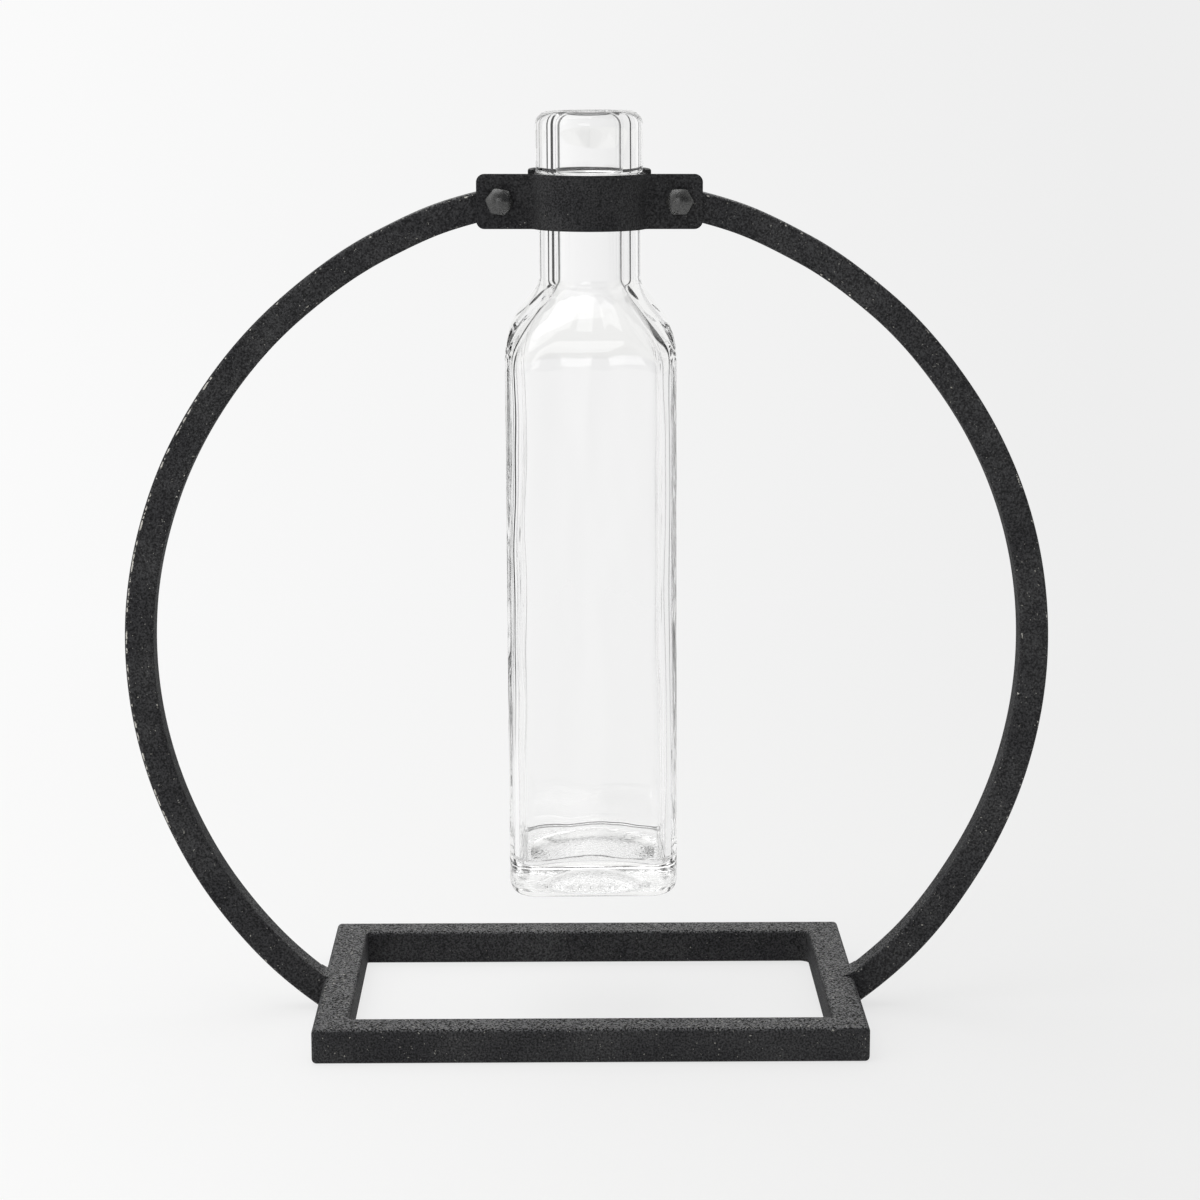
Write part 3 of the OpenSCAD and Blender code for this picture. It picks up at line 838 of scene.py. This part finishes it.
def halfSection():
    # points of the section as (half-width, height, corner radius, side): side 0 outside, 1 inside,
    # 2 where the pips stand
    low, top, rows = bottleLow.z, bottleHigh.z, bottle["rows"]
    points = []

    def add(width, z, corner=None, side=0):
        points.append((width, z, width if corner is None else corner, side))

    def arc(width, z, radius, start, end, count, side=0):
        for i in range(count + 1):
            a = math.radians(start + (end - start) * i / count)
            add(width + radius * math.cos(a), z + radius * math.sin(a), side=side)

    # push-up, the ring round it and the heel
    ball = (bottle["punt"] ** 2 + bottle["puntDepth"] ** 2) / (2 * bottle["puntDepth"])
    rest = low + bottle["dotHeight"]
    for i in range(rows["punt"] + 1):
        width = bottle["punt"] * i / rows["punt"]
        add(width, rest + math.sqrt(ball ** 2 - width ** 2) - ball + bottle["puntDepth"])
    flat = bottle["half"] - bottle["heel"]
    for t, side in bottle["standing"]:
        width = bottle["punt"] + (flat - bottle["punt"]) * t
        add(width, rest, width + (bottle["corner"] - bottle["heel"] - width) * ease(t), side)
    for i in range(rows["heel"] + 1):
        a = math.radians(90 * i / rows["heel"])
        tuck = bottle["heel"] * (1 - math.sin(a))
        lift = bottle["dotHeight"] * math.cos(a)
        add(bottle["half"] - tuck, low + lift + bottle["heel"] * (1 - math.cos(a)), bottle["corner"] - tuck)

    # outside: body, shoulder, neck and bead
    bodyZ = low + bottle["heel"]
    for i in range(1, rows["body"]):
        add(bottle["half"], bodyZ + (shoulderZ - low - bottle["heel"]) * i / rows["body"], bottle["corner"])
    shoulderRows = [1 - (1 - i / rows["shoulder"]) ** 1.5 for i in range(rows["shoulder"] + 1)]
    for t in shoulderRows:
        width, corner = shoulderRing(t, bottle["half"], bottle["neck"], bottle["outerBend"],
                                     bottle["corner"])
        add(width, shoulderZ + bottle["shoulder"] * t, corner)
    for i in range(1, rows["neck"]):
        add(bottle["neck"], neckZ + bottle["neckLength"] * i / rows["neck"])
    for out, up in bottle["neckSteps"]:
        add(bottle["neck"] + out, beadZ + up)
    beadFoot, rim, lip = bottle["beadFoot"], bottle["rim"], bottle["lip"]
    arc(bottle["bead"] - beadFoot, beadZ + beadFoot, beadFoot, -90, 0, rows["beadFoot"])
    straight = bottle["beadHeight"] - beadFoot - rim
    for i in range(1, rows["bead"]):
        add(bottle["bead"], beadZ + beadFoot + straight * i / rows["bead"])
    arc(bottle["bead"] - rim, top - rim, rim, 0, 90, rows["rim"])

    # inside: mouth, bore, shoulder, body and floor
    arc(bottle["bore"] + lip, top - lip, lip, 90, 180, rows["lip"], 1)
    boreTop = top - lip
    for i in range(1, rows["bore"]):
        add(bottle["bore"], boreTop + (neckZ - boreTop) * i / rows["bore"], side=1)
    innerHalf, innerCorner = bottle["half"] - bottle["wall"], bottle["corner"] - bottle["wall"]
    for t in reversed(shoulderRows):
        width, corner = shoulderRing(t, innerHalf, bottle["bore"], bottle["innerBend"], innerCorner)
        add(width, shoulderZ + bottle["shoulder"] * t, corner, 1)
    floorZ = low + bottle["floor"]
    for i in range(1, rows["body"]):
        drop = (floorZ + bottle["innerHeel"] - shoulderZ) * i / rows["body"]
        add(innerHalf, shoulderZ + drop, innerCorner, 1)
    for i in range(rows["heel"] + 1):
        a = math.radians(90 * (1 - i / rows["heel"]))
        tuck = bottle["innerHeel"] * (1 - math.sin(a))
        add(innerHalf - tuck, floorZ + bottle["innerHeel"] * (1 - math.cos(a)), innerCorner - tuck, 1)
    flat = innerHalf - bottle["innerHeel"]
    for i in range(1, rows["floor"] + 1):
        t = i / rows["floor"]
        width = flat * (1 - t)
        corner = (innerCorner - bottle["innerHeel"]) * (1 - t) + width * t
        add(width, floorZ + bottle["floorRise"] * (1 - (1 - t) ** 2), corner, 1)
    return points


def squareReach(width, corner, angle):
    # distance from the axis to a square of this half-width with round corners, at one angle
    phi = abs((angle + math.pi / 4) % (math.pi / 2) - math.pi / 4)
    if corner >= width or width <= 0:
        return width
    if math.tan(phi) <= (width - corner) / width:
        return width / math.cos(phi)
    reach = (width - corner) * math.sqrt(2)
    away = phi - math.pi / 4
    return reach * math.cos(away) + math.sqrt(corner ** 2 - (reach * math.sin(away)) ** 2)


def glassBottle():
    section = halfSection()
    clearSelection()
    bpy.ops.mesh.primitive_grid_add(x_subdivisions=1, y_subdivisions=len(section) - 1, size=1)
    piece = settle("square_glass_bottle")
    editMode()
    pick('VERT', lambda v: v.co.x > 0)
    bpy.ops.mesh.delete(type='VERT')
    mesh = bmesh.from_edit_mesh(piece.data)
    mesh.verts.ensure_lookup_table()
    for vertex, (width, z, corner, side) in zip(mesh.verts, section):
        vertex.co = (width, 0, z)
    bmesh.update_edit_mesh(piece.data)
    selectAll()
    bpy.ops.mesh.spin(steps=bottle["turnRows"], angle=2 * math.pi, use_auto_merge=True,
                      center=(0, 0, 0), axis=(0, 0, 1))
    objectMode()
    cleanUp()
    floorZ = bottleLow.z + bottle["floor"]
    dome = ((bottle["half"] - bottle["wall"]) ** 2 + bottle["floorRise"] ** 2) / (2 * bottle["floorRise"])
    lookup = kdtree.KDTree(len(section))
    for i, (width, z, corner, side) in enumerate(section):
        lookup.insert((width, 0, z), i)
    lookup.balance()

    def square(co):
        reach = math.hypot(co.x, co.y)
        if reach < touch:
            return co
        width, z, corner, side = section[lookup.find((reach, 0, co.z))[1]]
        angle = math.atan2(co.y, co.x)
        new = squareReach(width, corner, angle)
        height = co.z
        if side == 2:
            height -= bottle["dotHeight"] * max(0, math.cos(bottle["dots"] * angle))
        if side == 1 and width > bottle["bore"] + 1 * mm:
            # the floor is a dome, so its corners lie deeper; the walls were blown and ripple
            near = ease((floorZ + bottle["domeTop"] - z) / bottle["domeFade"])
            height -= near * (new ** 2 - width ** 2) / (2 * dome)
            if z > floorZ + bottle["floorRise"] * 1.01:
                turns = bottle["waveTurns"]
                spot = Vector((math.cos(angle) * turns, math.sin(angle) * turns, z / bottle["waveHeight"]))
                ripple = noise.noise(spot) + bottle["fineWave"] * noise.noise(spot * bottle["fineTurns"])
                new += bottle["wave"] * ripple * ease((width - bottle["bore"]) / bottle["waveFade"])
        return Vector((co.x * new / reach, co.y * new / reach, height))

    moveMesh(piece, square)
    lean = Matrix.Rotation(math.radians(-bottle["lean"]), 4, 'Y')
    pivot = Vector((0, 0, bottle["pivot"]))
    moveMesh(piece, lambda co: lean @ (co - pivot) + pivot)
    stippled = bottleLow.z + bottle["puntDepth"] + bottle["stippleTop"]
    markPlaces(piece, "stipple", lambda co: float(
        co.z < stippled and math.hypot(co.x, co.y) < bottle["stippleReach"]))
    return finishPiece(piece, ["glass_bottle"], "bottle", bottleGlass, 60)


glassBottle()
print("Pieces made")


# Camera numbers, fitted to the stand's corners and edges in the photograph

view = {
    "place": Vector((-9.3012, -876.523, 318.941)) * mm,
    "yaw": 0.0146, "pitch": 0.1665, "roll": 0.0006,
    "shift": -0.08,          # the photo's verticals are parallel
    "focalPixels": 2713.56, "picturePixels": 1200, "sensor": 36,
}


# Studio: a plain pale floor, a pale surround and soft lamps

studio = {
    "floor": "#f2f2f1", "left": "#fbfbfb", "right": "#eeeeee", "floorSize": 16,
    "fall": (-0.22, 0.2),        # slopes to the left and right between which the backdrop falls off
    "near": 0.2, "far": 0.7,     # where the lit floor gives way to the plain backdrop
    "least": 0.8,                # how much of the backdrop shows even under the stand
    "room": "#f4f4f3", "dim": "#5c5e60", "gap": "#151515",
    # dark gaps in the room beside the backdrop, as bearings from it: they draw the glass's lines
    "gaps": ((-59, -49), (-33, -27), (31, 37)), "soft": 1.5,
    "gapFrom": (0.3, 0.5),       # on the floor they come up between these distances
    # the dim part of the room: how far to the left of the camera it is, where it is darkest, and
    # where it ends for most light and for light through the glass
    "aside": -0.45, "darkest": -0.999, "dimEnd": 0.0, "dimEndInGlass": -0.93,
    "bounces": 24,               # light crosses the thick glass many times
}
# place, aim, width, height and power in watts
lamps = {
    "overhead_softbox": ((-0.3, 0.1, 1.6), (0, 0, 0.1), 1.6, 1.2, 10.6),
    "left_softbox": ((-1.5, -0.6, 1.0), (0, 0, 0.15), 1.0, 1.2, 2.5),
    "front_softbox": ((-0.3, -1.6, 0.6), (0, 0, 0.25), 0.7, 0.5, 2.2),
}


def maths(tree, operation, first, second, **settings):
    # each of the two is a number or a pair of node and output
    links = {}
    for socket, value in ((0, first), (1, second)):
        if isinstance(value, tuple):
            links[socket] = value
        else:
            settings[socket] = value
    return addNode(tree, 'ShaderNodeMath', {'operation': operation, **settings}, links)


def backdropTone(tree, parts, least):
    # the backdrop falls off slowly from left to right, by the bearing from the camera's foot. Near
    # that foot, nearer than least, it hardly changes
    level = addNode(tree, 'ShaderNodeCombineXYZ', {}, {'X': (parts, 'X'), 'Y': (parts, 'Y')})
    reach = addNode(tree, 'ShaderNodeVectorMath', {'operation': 'LENGTH'}, {0: (level, 0)})
    reach = maths(tree, 'MAXIMUM', (reach, 'Value'), least)
    slope = maths(tree, 'DIVIDE', (parts, 'X'), (reach, 0))
    fall = addNode(tree, 'ShaderNodeMapRange', {
        'From Min': studio["fall"][0], 'From Max': studio["fall"][1]}, {'Value': (slope, 0)})
    return mixColours(tree, (fall, 0), linear(studio["left"]), linear(studio["right"]))


def darkGaps(tree, across, along):
    # 1 at the bearings of the dark gaps beside the backdrop, with a whole turn as 0 to 1
    bearing = maths(tree, 'ARCTAN2', across, along)
    turn = addNode(tree, 'ShaderNodeMath', {'operation': 'MULTIPLY_ADD', 1: 0.5 / math.pi, 2: 0.5},
                   {0: (bearing, 0)})
    soft, stops = studio["soft"], []
    for start, end in studio["gaps"]:
        stops += [(start - soft, 0), (start, 1), (end, 1), (end + soft, 0)]
    return greyRamp(tree, turn, [(angle / 360 + 0.5, shade) for angle, shade in stops])


def paleFloor():
    # matt white board: it takes the soft shadows near the stand and fades to the backdrop beyond
    material, tree, output = newMaterial("matt_white_board")
    place = addNode(tree, 'ShaderNodeTexCoord')
    away = addNode(tree, 'ShaderNodeVectorMath', {'operation': 'LENGTH'}, {0: (place, 'Object')})
    fade = addNode(tree, 'ShaderNodeMapRange', {
        'interpolation_type': 'SMOOTHSTEP', 'From Min': studio["near"], 'From Max': studio["far"],
        'To Min': studio["least"]}, {'Value': (away, 'Value')})
    # the backdrop is there for rays from the camera and through or off shiny things
    rays = addNode(tree, 'ShaderNodeLightPath')
    seen = maths(tree, 'ADD', (rays, 'Is Camera Ray'), (rays, 'Is Glossy Ray'), use_clamp=True)
    seen = maths(tree, 'ADD', (seen, 0), (rays, 'Is Transmission Ray'), use_clamp=True)
    share = maths(tree, 'MULTIPLY', (seen, 0), (fade, 0))
    board = addNode(tree, 'ShaderNodeBsdfDiffuse', {'Color': linear(studio["floor"])})
    fromCamera = addNode(tree, 'ShaderNodeVectorMath', {'operation': 'SUBTRACT', 1: view["place"]},
                         {0: (place, 'Object')})
    parts = addNode(tree, 'ShaderNodeSeparateXYZ', {}, {0: (fromCamera, 'Vector')})
    tone = backdropTone(tree, parts, 0.5)
    # the gaps reach down over the far floor, but the camera doesn't see them itself
    spot = addNode(tree, 'ShaderNodeSeparateXYZ', {}, {0: (place, 'Object')})
    gaps = darkGaps(tree, (spot, 'X'), (spot, 'Y'))
    outside = addNode(tree, 'ShaderNodeMapRange', {
        'From Min': studio["gapFrom"][0], 'From Max': studio["gapFrom"][1]}, {'Value': (away, 'Value')})
    unseen = maths(tree, 'SUBTRACT', 1.0, (rays, 'Is Camera Ray'))
    shown = maths(tree, 'MULTIPLY', (outside, 0), (unseen, 0))
    shown = maths(tree, 'MULTIPLY', (shown, 0), (gaps, 0))
    tone = mixColours(tree, (shown, 0), (tone, 2), linear(studio["gap"]))
    glow = addNode(tree, 'ShaderNodeEmission', {'Strength': 1.0}, {'Color': (tone, 2)})
    mixed = addNode(tree, 'ShaderNodeMixShader', {}, {0: (share, 0), 1: (board, 0), 2: (glow, 0)})
    tree.links.new(mixed.outputs[0], output.inputs[0])
    return material


def paleSurround():
    # the room is pale all round, but for a dimmer part behind the camera, which keeps the fronts of
    # the bars darker than their tops, and for the narrow gaps
    world = bpy.data.worlds.new("pale_surround")
    scene.world = world
    world.use_nodes = True
    tree = world.node_tree
    tree.nodes.clear()
    output = tree.nodes.new('ShaderNodeOutputWorld')
    place = addNode(tree, 'ShaderNodeTexCoord')
    parts = addNode(tree, 'ShaderNodeSeparateXYZ', {}, {0: (place, 'Generated')})
    rays = addNode(tree, 'ShaderNodeLightPath')
    # through the glass the dim part is narrow, so that its lines stay thin
    dimEnd = addNode(tree, 'ShaderNodeMix', {
        'data_type': 'FLOAT', 2: studio["dimEnd"], 3: studio["dimEndInGlass"]},
        {0: (rays, 'Is Transmission Ray')})
    away = addNode(tree, 'ShaderNodeMath', {'operation': 'MULTIPLY_ADD', 1: studio["aside"]},
                   {0: (parts, 'X'), 2: (parts, 'Y')})
    behind = addNode(tree, 'ShaderNodeMapRange', {
        'interpolation_type': 'SMOOTHSTEP', 'From Min': studio["darkest"]},
        {'Value': (away, 0), 'From Max': (dimEnd, 0)})
    colour = mixColours(tree, (behind, 0), linear(studio["dim"]), linear(studio["room"]))
    gaps = darkGaps(tree, (parts, 'X'), (parts, 'Y'))
    colour = mixColours(tree, (gaps, 0), (colour, 2), linear(studio["gap"]))
    tone = backdropTone(tree, parts, 0.05)
    plain = mixColours(tree, (rays, 'Is Camera Ray'), (colour, 2), (tone, 2))
    light = addNode(tree, 'ShaderNodeBackground', {'Strength': 1.0}, {'Color': (plain, 2)})
    tree.links.new(light.outputs[0], output.inputs[0])


clearSelection()
bpy.ops.mesh.primitive_plane_add(size=studio["floorSize"], location=(0, 0, 0))
floor = settle("pale_floor")
floor.data.materials.append(paleFloor())
paleSurround()
for limit in ("max_bounces", "transmission_bounces", "glossy_bounces"):
    setattr(scene.cycles, limit, studio["bounces"])


def softLamp(name, place, aim, width, height, power):
    data = bpy.data.lights.new(name, 'AREA')
    data.shape = 'RECTANGLE'
    data.size, data.size_y = width, height
    data.energy = power
    lamp = bpy.data.objects.new(name, data)
    scene.collection.objects.link(lamp)
    lamp.location = place
    lamp.rotation_euler = (Vector(aim) - Vector(place)).to_track_quat('-Z', 'Y').to_euler()


for name, lamp in lamps.items():
    softLamp(name, *lamp)


def photoCamera():
    data = bpy.data.cameras.new("photo_camera")
    data.sensor_width = view["sensor"]
    data.lens = view["focalPixels"] / view["picturePixels"] * view["sensor"]
    data.shift_y = view["shift"]
    camera = bpy.data.objects.new("photo_camera", data)
    scene.collection.objects.link(camera)
    yaw, pitch, roll = view["yaw"], view["pitch"], view["roll"]
    level = math.cos(pitch)
    forward = Vector((math.sin(yaw) * level, math.cos(yaw) * level, -math.sin(pitch)))
    right = Vector((math.cos(yaw), -math.sin(yaw), 0))
    up = right.cross(forward)
    right, up = (math.cos(roll) * right + math.sin(roll) * up,
                 math.cos(roll) * up - math.sin(roll) * right)
    turn = Matrix((right, up, -forward)).transposed().to_4x4()
    camera.matrix_world = Matrix.Translation(view["place"]) @ turn
    scene.camera = camera


photoCamera()
print("Studio and camera set")
